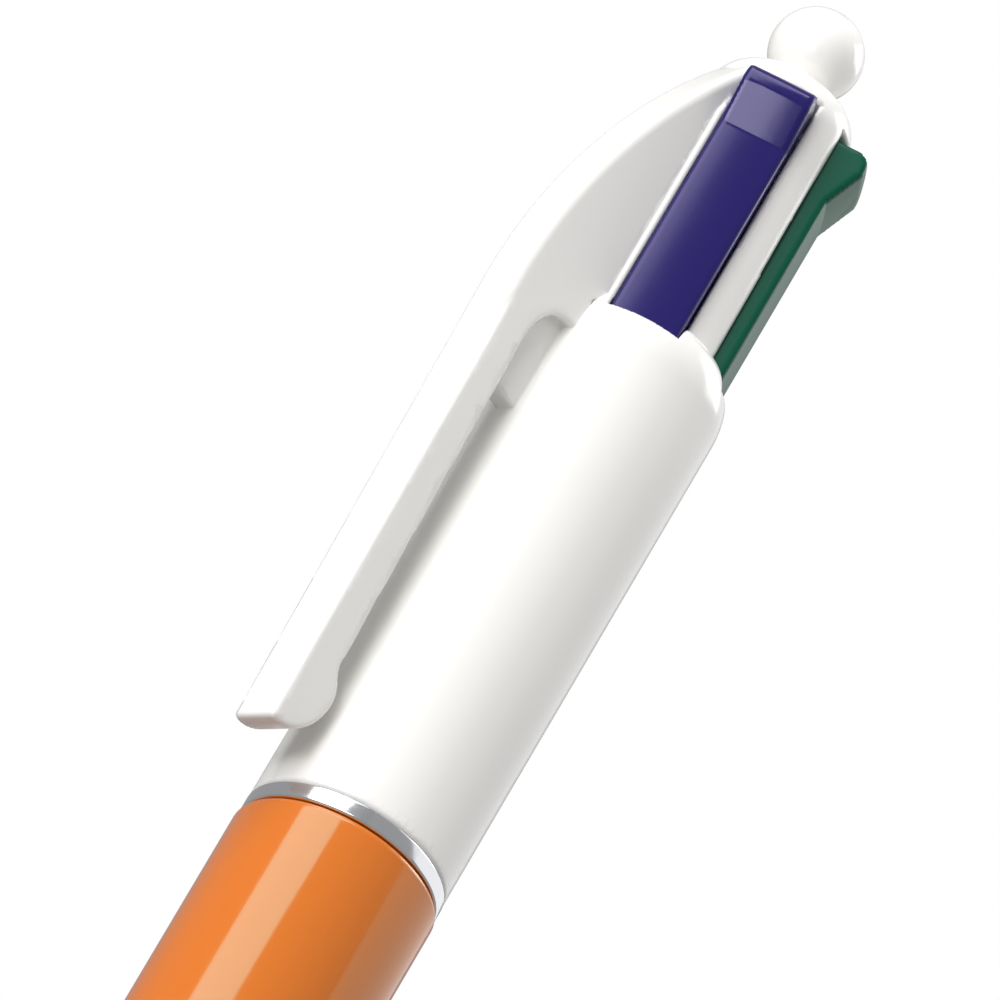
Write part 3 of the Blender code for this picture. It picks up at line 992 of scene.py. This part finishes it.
@dataclass
class UpperBarrel:
    """The pale barrel: its lip and bore, its shoulder, its pillars and crown, and its clip."""

    shop: Workshop
    edge: float = 0.15 * MM
    voxel: float = 0.125 * MM
    kept: float = 0.48
    sides: int = 360
    radius: float = 6.0 * MM
    bore: float = 5.28 * MM
    bore_top: float = 122.45 * MM
    foot: float = 88.15 * MM
    ledge: float = 89.15 * MM
    spigot_foot: float = 78.5 * MM
    spigot_overlap: float = 0.5 * MM
    spigot_radius: float = 4.95 * MM
    spigot_edge: float = 0.25 * MM
    spigot_bore: float = 4.3 * MM
    thread_low: float = 79.8 * MM
    thread_high: float = 85.8 * MM
    thread_radius: float = 0.24 * MM
    thread_sunk: float = 0.03 * MM
    thread_turns: float = 4.0
    shoulder: float = 120.8 * MM
    shoulder_height: float = 3.2 * MM
    pillar: float = 4.45 * MM
    slot_width: float = 4.26 * MM
    slot_foot: float = 122.7 * MM
    slot_top: float = 140.6 * MM
    crown_foot: float = 140.0 * MM
    crown_top: float = 142.3 * MM
    crown_radius: float = 3.45 * MM
    crown_flat: float = 0.4 * MM
    peg_hole: float = 1.3 * MM
    cheek_width: float = 4.8 * MM
    cheek_in: float = 3.0 * MM
    cheek_out: float = 5.0 * MM
    cheek_bend: float = 137.0 * MM
    cheek_top: float = 139.9 * MM
    clip_width: float = 3.0 * MM
    clip_round: float = 0.34 * MM
    clip_out: float = 10.85 * MM
    clip_in: float = 8.4 * MM
    clip_lean: float = 0.0285
    clip_end: float = 89.3 * MM
    clip_toe: float = 9.4 * MM
    clip_bend: float = 119.0 * MM
    clip_tip: float = 3.2 * MM
    clip_steps: int = 36
    clip_handles: tuple[Point, Point] = ((11.3 * MM, 127.5 * MM), (7.9 * MM, 136.5 * MM))
    arch: float = 117.4 * MM
    arch_in: float = 6.3 * MM
    root: float = 120.4 * MM
    root_in: float = 2.6 * MM
    root_out: float = 5.6 * MM
    root_heights: tuple[float, float] = (124.2 * MM, 122.6 * MM)
    bump_in: float = 6.85 * MM
    bump: float = 92.7 * MM
    bump_top: float = 94.9 * MM
    web_width: float = 1.4 * MM
    web_foot: float = 114.5 * MM
    web_out: float = 8.7 * MM
    web_tops: tuple[float, float] = (120.0 * MM, 121.6 * MM)

    def lean(self, distance: float, height: float) -> Point:
        """A point of the blade, which draws nearer to the axis towards its free end."""
        return distance - (self.clip_bend - height) * self.clip_lean, height

    def clip_outline(self) -> list[Point]:
        """The clip's outline seen from its side, anticlockwise with the clip to the right."""
        top = self.crown_top - 0.05 * MM
        outer = bend((self.clip_out, self.clip_bend), *self.clip_handles, (self.clip_tip, top),
                     self.clip_steps)
        high, low = self.root_heights
        root = [(self.root_in, top - 0.25 * MM), (self.root_in, high), (self.root_out, low),
                (self.root_out, self.root)]
        arch = bend((self.arch_in, self.root), (7.5 * MM, self.root - 0.1 * MM),
                    (self.clip_in, 119.2 * MM), self.lean(self.clip_in, self.arch), 14)
        neck = self.lean(self.clip_in, self.bump_top)
        bump = bend(neck, (neck[0], neck[1] - 1.0 * MM), (self.bump_in, self.bump + 1.1 * MM),
                    (self.bump_in, self.bump), 14)
        toe = bend((self.bump_in, self.bump), (self.bump_in, self.bump - 1.6 * MM),
                   (7.9 * MM, self.clip_end + 0.3 * MM), (self.clip_toe, self.clip_end), 14)
        return outer + root + arch + bump + toe[1:] + [self.lean(self.clip_out, self.clip_end)]

    def shell(self) -> Mesh:
        """The round barrel with its crown and its bore, smaller than it is by its edges."""
        e = self.edge
        crown = arc((self.crown_radius - self.crown_flat, self.crown_foot),
                    (self.pillar - self.crown_radius + self.crown_flat - e,
                     self.crown_top - self.crown_foot - e), 90, 0, 16)
        shoulder = arc((self.pillar - e, self.shoulder), (self.radius - self.pillar, self.shoulder_height),
                       86, 0, 28)
        inside = [(self.spigot_bore + e, self.foot + e), (self.spigot_bore + e, self.ledge - e),
                  (self.bore + e, self.ledge - e), (self.bore + e, self.bore_top + e),
                  (self.peg_hole + e, self.bore_top + e), (self.peg_hole + e, self.crown_top - e)]
        profile = crown + shoulder + [(self.radius - e, self.foot + e)] + inside
        return self.shop.turned(profile, self.sides, "white_plastic")

    def core(self) -> Mesh:
        """The whole upper barrel, smaller than it is by the radius of its edges."""
        e = self.edge
        blade = plate(inset(self.clip_outline(), e), self.clip_width - 2 * e, self.clip_round,
                      self.clip_steps + 1)
        web_foot = self.web_foot + e
        outer_top, inner_top = self.web_tops
        web = plate([(self.root_out, web_foot), (self.web_out, web_foot + 0.25 * MM),
                     (self.web_out, outer_top), (self.root_out, inner_top)], self.web_width - 2 * e)
        cheek_foot = self.slot_foot - 0.1 * MM
        cheek_out = self.cheek_out - e
        cheek = plate([(self.cheek_in, cheek_foot), (cheek_out, cheek_foot), (cheek_out, self.cheek_bend),
                       (self.pillar - e, self.cheek_top), (self.cheek_in, self.cheek_top)],
                      self.cheek_width)
        slots = [block(self.slot_width + 2 * e, -CLEAR, CLEAR, self.slot_foot - e, self.slot_top + e, a)
                 for a in (45, 135)]
        return joined(self.shell(), [(solid, Joining.UNION) for solid in (blade, web, cheek)]
                      + [(slot, Joining.DIFFERENCE) for slot in slots])

    def build(self) -> None:
        """Make the barrel with its clip, then its spigot and its thread."""
        shop = self.shop
        mesh = rounded(self.core(), self.edge, self.voxel, self.kept)
        shop.add("upper_barrel_shell", mesh, "white_plastic", Body.BARREL.value, ["upper_barrel"])
        soft = self.spigot_edge
        top = self.foot + self.spigot_overlap
        profile = [(self.spigot_radius, top), (self.spigot_radius, self.spigot_foot + soft)]
        profile += arc((self.spigot_radius - soft, self.spigot_foot + soft), (soft, soft), 0, -90, 5)[1:]
        profile += [(self.spigot_bore, self.spigot_foot), (self.spigot_bore, top)]
        spigot = shop.turned(profile, 128, "white_plastic")
        shop.add("upper_barrel_spigot", spigot, "white_plastic", Body.BARREL.value)
        thread = shop.wound({"Radius": self.spigot_radius - self.thread_sunk,
                             "Wire Radius": self.thread_radius, "Low": self.thread_low,
                             "High": self.thread_high, "Turns": self.thread_turns, "Close Turns": 0.0,
                             "Close Pitch": 0.0, "Points A Turn": 72}, "white_plastic")
        shop.add("spigot_thread", thread, "white_plastic", Body.BARREL.value)


@dataclass
class BallCap:
    """The ball on the crown, with its neck and its peg."""

    shop: Workshop
    radius: float = 2.69 * MM
    height: float = 145.5 * MM
    neck: float = 1.6 * MM
    neck_flare: float = 0.05 * MM
    peg: float = 1.0 * MM
    peg_edge: float = 0.15 * MM

    def build(self) -> None:
        """Make the cap."""
        foot = self.shop.pen.span("upper_barrel")[1] + 0.05 * MM
        tip, _ = self.shop.pen.span("ball_cap")
        angle = math.degrees(math.asin(self.neck / self.radius))
        ball = arc((0.0, self.height), (self.radius, self.radius), 90, angle - 90, 56)
        soft = self.peg_edge
        peg = [(self.neck + self.neck_flare, foot + 0.06 * MM), (self.neck, foot), (self.peg, foot),
               (self.peg, tip + soft)]
        peg += arc((self.peg - soft, tip + soft), (soft, soft), 0, -90, 4)[1:]
        mesh = self.shop.turned(ball + peg + [(0.0, tip)], 96, "white_plastic")
        self.shop.add("ball_cap_knob", mesh, "white_plastic", Body.BARREL.value, ["ball_cap"])


@dataclass
class CoreGuide:
    """The cross that parts the sliders, and the rod that runs down between the springs."""

    shop: Workshop
    edge: float = 0.1 * MM
    voxel: float = 0.12 * MM
    rod: float = 0.6 * MM
    fin: float = 0.7 * MM
    reach: float = 2.75 * MM
    fin_foot: float = 117.5 * MM
    fin_top: float = 139.6 * MM

    def build(self) -> None:
        """Make the guide."""
        e = self.edge
        low, high = self.shop.pen.span("core_guide")
        rod = self.shop.turned(bar(self.rod - e, low + e, high - e), 48, "natural_plastic")
        reach = self.reach - e
        fins = [block(self.fin - 2 * e, -reach, reach, self.fin_foot + e, self.fin_top - e, a)
                for a in (0, 90)]
        mesh = rounded(joined(rod, [(fin, Joining.UNION) for fin in fins]), e, self.voxel)
        self.shop.add("core_guide_cross", mesh, "natural_plastic", Body.BARREL.value, ["core_guide"])


@dataclass
class SpringSeat:
    """The disc that carries the four springs and lets the refills through."""

    shop: Workshop
    edge: float = 0.12 * MM
    voxel: float = 0.13 * MM
    radius: float = 5.05 * MM
    hole: float = 1.6 * MM
    circle: float = 2.7 * MM

    def build(self) -> None:
        """Make the disc."""
        e = self.edge
        low, high = self.shop.pen.span("spring_seat")
        disc = self.shop.turned(bar(self.radius - e, low + e, high - e), 240, "natural_plastic")
        holes = []
        for ink in Ink:
            hole = self.shop.turned(bar(self.hole + e, low - MM, high + MM), 96, "natural_plastic")
            turn = Matrix.Rotation(math.radians(ink.value), 4, "Z")
            hole.transform(turn @ Matrix.Translation((0.0, -self.circle, 0.0)))
            holes.append((hole, Joining.DIFFERENCE))
        mesh = rounded(joined(disc, holes), e, self.voxel)
        self.shop.add("spring_seat_disc", mesh, "natural_plastic", Body.BARREL.value, ["spring_seat"])


@dataclass
class ColourSet:
    """One slider with its spring and its refill, built facing the clip and turned to its azimuth."""

    shop: Workshop
    ink: Ink
    edge: float = 0.2 * MM
    voxel: float = 0.13 * MM
    width: float = 4.12 * MM
    face_radius: float = 34.0 * MM
    face_start: float = 0.4 * MM
    face_blend: float = 0.6 * MM
    outer: float = 4.98 * MM
    inner: float = 3.65 * MM
    head: float = 5.95 * MM
    head_round: float = 0.9 * MM
    head_edge: float = 138.9 * MM
    low_head: float = 1.55 * MM
    head_foot: float = 136.4 * MM
    flange: float = 1.75 * MM
    flange_height: float = 4.0 * MM
    strip_foot: float = 113.0 * MM
    peg: float = 0.65 * MM
    peg_height: float = 5.0 * MM
    circle: float = 2.7 * MM
    point_circle: float = 2.15 * MM
    tube: float = 1.1 * MM
    tube_wall: float = 0.3 * MM
    tube_foot: float = 20.5 * MM
    tube_top: float = 112.7 * MM
    bend_top: float = 85.0 * MM
    ink_radius: float = 0.62 * MM
    ink_foot: float = 25.0 * MM
    ink_top: float = 84.0 * MM
    swing: float = 58.0 * MM
    swing_length: float = 20.0 * MM
    brass_gap: float = 0.3 * MM
    brass: float = 0.95 * MM
    brass_tip: float = 0.6 * MM
    brass_edge: float = 0.06 * MM
    shank: float = 3.5 * MM
    grooves: int = 3
    groove_start: float = 1.6 * MM
    groove_step: float = 0.5 * MM
    groove_half: float = 0.12 * MM
    groove_depth: float = 0.07 * MM
    taper: float = 3.3 * MM
    taper_foot: float = 0.6 * MM
    ball: float = 0.4 * MM
    ball_sunk: float = 0.05 * MM
    spring_radius: float = 1.58 * MM
    spring_gap: float = 0.1 * MM
    wire: float = 0.14 * MM
    spring_turns: float = 17.0
    press: float = 11.0 * MM

    def slider_core(self) -> Mesh:
        """The slider, smaller than it is by the radius of its edges."""
        e = self.edge
        _, top = self.shop.pen.span(f"{self.ink.label}_slider")
        if self.ink is Ink.BLACK:
            top -= self.low_head
        soft = self.head_round - e
        ledge = arc((self.head - self.head_round, top - self.head_round), (soft, soft), 90, 0, 10)
        outer = self.outer - e
        foot = self.strip_foot + e
        head_edge = min(self.head_edge, top - self.head_round)
        outline = [(self.inner + e, top - e)] + ledge
        outline += [(self.head - e, head_edge), (outer, self.head_foot - e * 0.3), (outer, foot),
                    (self.inner + e, foot)]
        strip = self.shop.turned(outline, 240, "blue_plastic")
        keep = block(self.width - 2 * e, 0.0, CLEAR, self.strip_foot - MM, top + MM)
        shelf = self.strip_foot + self.flange_height - e
        peg_foot = self.strip_foot - self.peg_height + e
        stem = self.shop.turned([(0.0, shelf), (self.flange - e, shelf), (self.flange - e, foot),
                                 (self.peg - e, foot), (self.peg - e, peg_foot), (0.0, peg_foot)],
                                72, "blue_plastic")
        stem.transform(Matrix.Translation((0.0, -self.circle, 0.0)))
        core = joined(strip, [(keep, Joining.INTERSECT), (stem, Joining.UNION)])
        for vertex in core.vertices:
            x, y, _ = vertex.co
            far = math.hypot(x, y)
            share = min(max((far - self.inner - self.face_start) / self.face_blend, 0.0), 1.0)
            fall = far - math.sqrt(max(far * far - x * x, 0.0))
            vertex.co.y -= share * max(fall - x * x / (2 * self.face_radius), 0.0)
        return core

    def reach(self, height: float) -> float:
        """How far the refill's middle stands from the axis at a height."""
        share = min(max((height - self.tube_foot) / (self.bend_top - self.tube_foot), 0.0), 1.0)
        ease = share * share * (3 - 2 * share)
        return self.point_circle + (self.circle - self.point_circle) * ease

    def swept(self, low: float, high: float, radius: float, wall: float, slot: str) -> Mesh:
        """A rod or a tube along the refill.

        Args:
            low: its lowest height.
            high: its highest height.
            radius: its outer radius.
            wall: its wall's thickness, or 0 for a rod.
            slot: the finish's name.

        Returns:
            The mesh, facing the clip.
        """
        count = 48
        heights = [low + (high - low) * i / count for i in range(count + 1)]
        chain = points_object("path", [(0.0, -self.reach(h), h) for h in heights], chain=True)
        run_tree(chain, self.shop.sweep, {"Radius": radius, "Sides": 32, "Caps": wall == 0.0,
                                          "Material": self.shop.materials[slot]})
        if wall:
            shell = chain.modifiers.new("wall", "SOLIDIFY")
            shell.thickness = wall
            shell.offset = -1.0
        return creased(chain, "swept")

    def refill(self) -> None:
        """Make the tube and its ink, which bend between the slider and the point."""
        pen = self.shop.pen
        label = self.ink.label
        start, end = (pen.point(self.ink.value, self.point_circle, self.swing + way * self.swing_length / 2)
                      for way in (1, -1))
        rods = (("refill_tube", "tube_wall", self.tube_foot, self.tube_top, self.tube, self.tube_wall,
                 "natural_plastic"),
                ("ink", "ink_column", self.ink_foot, self.ink_top, self.ink_radius, 0.0, f"{label}_ink"))
        for node, name, low, high, radius, wall, slot in rods:
            mesh = self.swept(low, high, radius, wall, slot)
            piece = self.shop.add(f"{label}_{name}", mesh, slot, None, [f"{label}_{node}"], self.ink.value)
            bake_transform(piece)

    def brass_outline(self, low: float, centre: float) -> list[Point]:
        """The point's outline, from its shank in the tube down to the cup that holds the ball.

        Args:
            low: the height of its end.
            centre: the height of the ball's middle.
        """
        wide, tip, soft = self.brass, self.brass_tip, self.brass_edge
        shoulder = self.tube_foot - self.brass_gap
        shank = shoulder + self.shank
        profile = [(0.0, shank), (self.ink_radius - soft, shank), (self.ink_radius, shank - soft),
                   (self.ink_radius, shoulder), (wide - soft, shoulder), (wide, shoulder - soft)]
        for step in range(self.grooves):
            groove = shoulder - self.groove_start - step * self.groove_step
            profile += [(wide, groove + self.groove_half), (wide - self.groove_depth, groove),
                        (wide, groove - self.groove_half)]
        taper = low + self.taper
        profile += [(wide, taper + 0.2 * MM)]
        profile += bend((wide, taper), (wide - 0.02 * MM, low + 3.0 * MM),
                        (tip + 0.18 * MM, low + 1.2 * MM), (tip, low + self.taper_foot), 12)
        cup = self.ball + 0.06 * MM
        cup_top = centre + self.ball + 0.1 * MM
        return profile + [(tip, low + 0.25 * MM), (self.ball + 0.1 * MM, low), (cup, low), (cup, cup_top),
                          (0.0, cup_top)]

    def point(self) -> None:
        """Make the brass point and its writing ball."""
        label = self.ink.label
        low, _ = self.shop.pen.span(f"{label}_brass_point")
        centre = low - self.ball_sunk
        half = arc((0.0, centre), (self.ball, self.ball), 90, -90, 20)
        for name, outline, sides, slot, node in (
                ("brass_tip", self.brass_outline(low, centre), 48, "brass", "brass_point"),
                ("writing_bead", half, 32, "spring_steel", "writing_ball")):
            mesh = self.shop.turned(outline, sides, slot)
            self.shop.add(f"{label}_{name}", mesh, slot, f"{label}_point", [f"{label}_{node}"],
                          self.ink.value, self.point_circle)

    def spring(self) -> None:
        """Make the spring."""
        shop = self.shop
        label = self.ink.label
        _, seat = shop.pen.span("spring_seat")
        mesh = shop.wound({"Radius": self.spring_radius, "Wire Radius": self.wire,
                           "Low": seat + self.spring_gap + self.wire,
                           "High": self.strip_foot - self.spring_gap - self.wire,
                           "Turns": self.spring_turns, "Close Turns": 2.0,
                           "Close Pitch": 2.15 * self.wire, "Points A Turn": 36}, "spring_steel")
        piece = shop.add(f"{label}_spring_coil", mesh, "spring_steel", Body.BARREL.value,
                         [f"{label}_spring"], self.ink.value, self.circle)
        shop.pen.point(0.0, 0.0, seat)
        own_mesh(piece)

    def build(self) -> None:
        """Make the slider, then its refill, its point and its spring."""
        label = self.ink.label
        mesh = rounded(self.slider_core(), self.edge, self.voxel)
        self.shop.add(f"{label}_slider_key", mesh, f"{label}_plastic", f"{label}_slider",
                      [f"{label}_slider"], self.ink.value)
        self.refill()
        self.point()
        self.spring()


# ---------------------------------------------------------------- studio


def outlook(azimuth: float, rise: float) -> tuple[Vector, Vector, Vector]:
    """The right, up and back directions of something that looks at the pen.

    Args:
        azimuth: the azimuth that it stands at, in degrees.
        rise: its elevation seen from the pen, in degrees.

    Returns:
        The three directions.
    """
    a, t = math.radians(azimuth), math.radians(rise)
    back = Vector((math.sin(a) * math.cos(t), -math.cos(a) * math.cos(t), math.sin(t)))
    right = Vector((0.0, 0.0, 1.0)).cross(back).normalized()
    return right, back.cross(right), back


def stand(thing: Object, place: Vector, right: Vector, up: Vector, back: Vector) -> None:
    """Put a camera or a light at a place, turned to its right, up and back directions."""
    thing.matrix_world = Matrix.Translation(place) @ Matrix((right, up, back)).transposed().to_4x4()


def to_camera(tree: NodeTree, seen: float, given: float) -> NodeSocket:
    """A strength that the camera sees, and another that the rest of the scene gets."""
    path = add_node(tree, "ShaderNodeLightPath", {})
    return add_node(tree, "ShaderNodeMapRange", {"Value": path.outputs["Is Camera Ray"],
                                                 "To Min": given, "To Max": seen}).outputs[0]


@dataclass(frozen=True)
class Softbox:
    """A soft light.

    Attributes:
        name: the light's name.
        side: its azimuth from the camera's, in degrees.
        rise: its elevation seen from the pen, in degrees.
        width: its width across.
        length: its length up and down.
        power: its power in watts.
        distance: how far it stands from the pen.
        aim: the height on the pen that it points at.
    """

    name: str
    side: float
    rise: float
    width: float
    length: float
    power: float
    distance: float = 0.5
    aim: float = TARGET_HEIGHT

    def place(self, pen: PenFrame, azimuth: float) -> None:
        """Put the light in the scene, beside a camera at an azimuth."""
        data = bpy.data.lights.new(self.name, "AREA")
        data.shape = "RECTANGLE"
        data.size = self.width
        data.size_y = self.length
        data.energy = self.power
        light = linked(self.name, data)
        light.visible_camera = False
        right, up, back = outlook(azimuth + self.side, self.rise)
        stand(light, pen.point(0.0, 0.0, self.aim) + back * self.distance, right, up, back)


SOFTBOXES = (
    Softbox("key", side=-42.0, rise=30.0, width=0.34, length=0.9, power=3.35),
    Softbox("low_key", side=-32.0, rise=-9.0, width=0.34, length=0.14, power=0.85),
    Softbox("rim", side=110.0, rise=30.0, width=0.9, length=0.9, power=1.7),
    Softbox("top", side=108.0, rise=40.0, width=0.06, length=0.05, power=0.035, distance=0.1,
            aim=137.0 * MM),
)


@dataclass
class Studio:
    """The camera, the floor, the sky and the soft lights round the pen."""

    pen: PenFrame
    azimuth: float = 53.17
    below: float = 28.48
    roll: float = 30.62
    distance: float = 1.2
    shift_right: float = -5.057 * MM
    shift_up: float = -3.664 * MM
    field: float = 54.383 * MM
    sensor: float = 36.0
    sky_seen: float = 1.0
    sky_given: float = 0.355
    floor_z: float = -4.5
    floor_reach: float = 40.0
    floor_glow: float = 0.48

    def camera(self) -> None:
        """Place the camera at the pen, below it and a little to the side of its clip."""
        right, up, back = outlook(self.azimuth, -self.below)
        roll = math.radians(self.roll)
        across = right * math.cos(roll) + up * math.sin(roll)
        upward = up * math.cos(roll) - right * math.sin(roll)
        middle = self.pen.point(0.0, 0.0, TARGET_HEIGHT)
        middle += across * self.shift_right + upward * self.shift_up
        data = bpy.data.cameras.new("camera")
        data.sensor_width = self.sensor
        data.lens = self.sensor * self.distance / self.field
        data.clip_start = 0.01
        data.clip_end = 100.0
        camera = linked("camera", data)
        stand(camera, middle + back * self.distance, across, upward, back)
        bpy.context.scene.camera = camera

    def sky(self) -> None:
        """Make the surroundings: bright behind the pen, and softer as a light."""
        world = bpy.data.worlds.new("studio")
        world.use_nodes = True
        tree = world.node_tree
        tree.nodes.clear()
        glow = add_node(tree, "ShaderNodeBackground", {
            "Color": (1.0, 1.0, 1.0, 1.0), "Strength": to_camera(tree, self.sky_seen, self.sky_given)})
        out = add_node(tree, "ShaderNodeOutputWorld", {"Surface": glow.outputs[0]})
        out.is_active_output = True
        bpy.context.scene.world = world

    def floor(self) -> None:
        """Lay a plain pale floor below the pen, lighter to the camera than it is lit."""
        material, tree, shader = new_material("pale_floor")
        where = add_node(tree, "ShaderNodeTexCoord", {}).outputs["Object"]
        cloud = add_node(tree, "ShaderNodeTexNoise", {"Vector": where, "Scale": 3.0})
        tone = add_node(tree, "ShaderNodeMapRange", {"Value": cloud.outputs[0], "To Min": 0.86,
                                                     "To Max": 0.9})
        feed(tree, shader, {"Base Color": tone.outputs[0], "Roughness": 0.6,
                            "Emission Color": (1.0, 1.0, 0.99, 1.0),
                            "Emission Strength": to_camera(tree, self.floor_glow, 0.0)})
        mesh = bpy.data.meshes.new("floor")
        corners = ((-1, -1), (1, -1), (1, 1), (-1, 1))
        mesh.from_pydata([(x * self.floor_reach, y * self.floor_reach, self.floor_z) for x, y in corners],
                         [], [(0, 1, 2, 3)])
        mesh.materials.append(material)
        linked("floor", mesh)

    def build(self) -> None:
        """Set up the whole studio."""
        bpy.context.scene.view_settings.view_transform = "Standard"
        self.camera()
        self.sky()
        self.floor()
        for softbox in SOFTBOXES:
            softbox.place(self.pen, self.azimuth)


def main() -> None:
    """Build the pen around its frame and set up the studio."""
    logging.basicConfig(level=logging.INFO, format="%(message)s")
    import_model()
    shop = Workshop.open(PenFrame.read())
    Studio(shop.pen).build()
    for part in (LowerBarrel, BarrelRing, UpperBarrel, BallCap, CoreGuide, SpringSeat):
        part(shop).build()
    for ink in Ink:
        ColourSet(shop, ink).build()


if __name__ == "__main__":
    main()
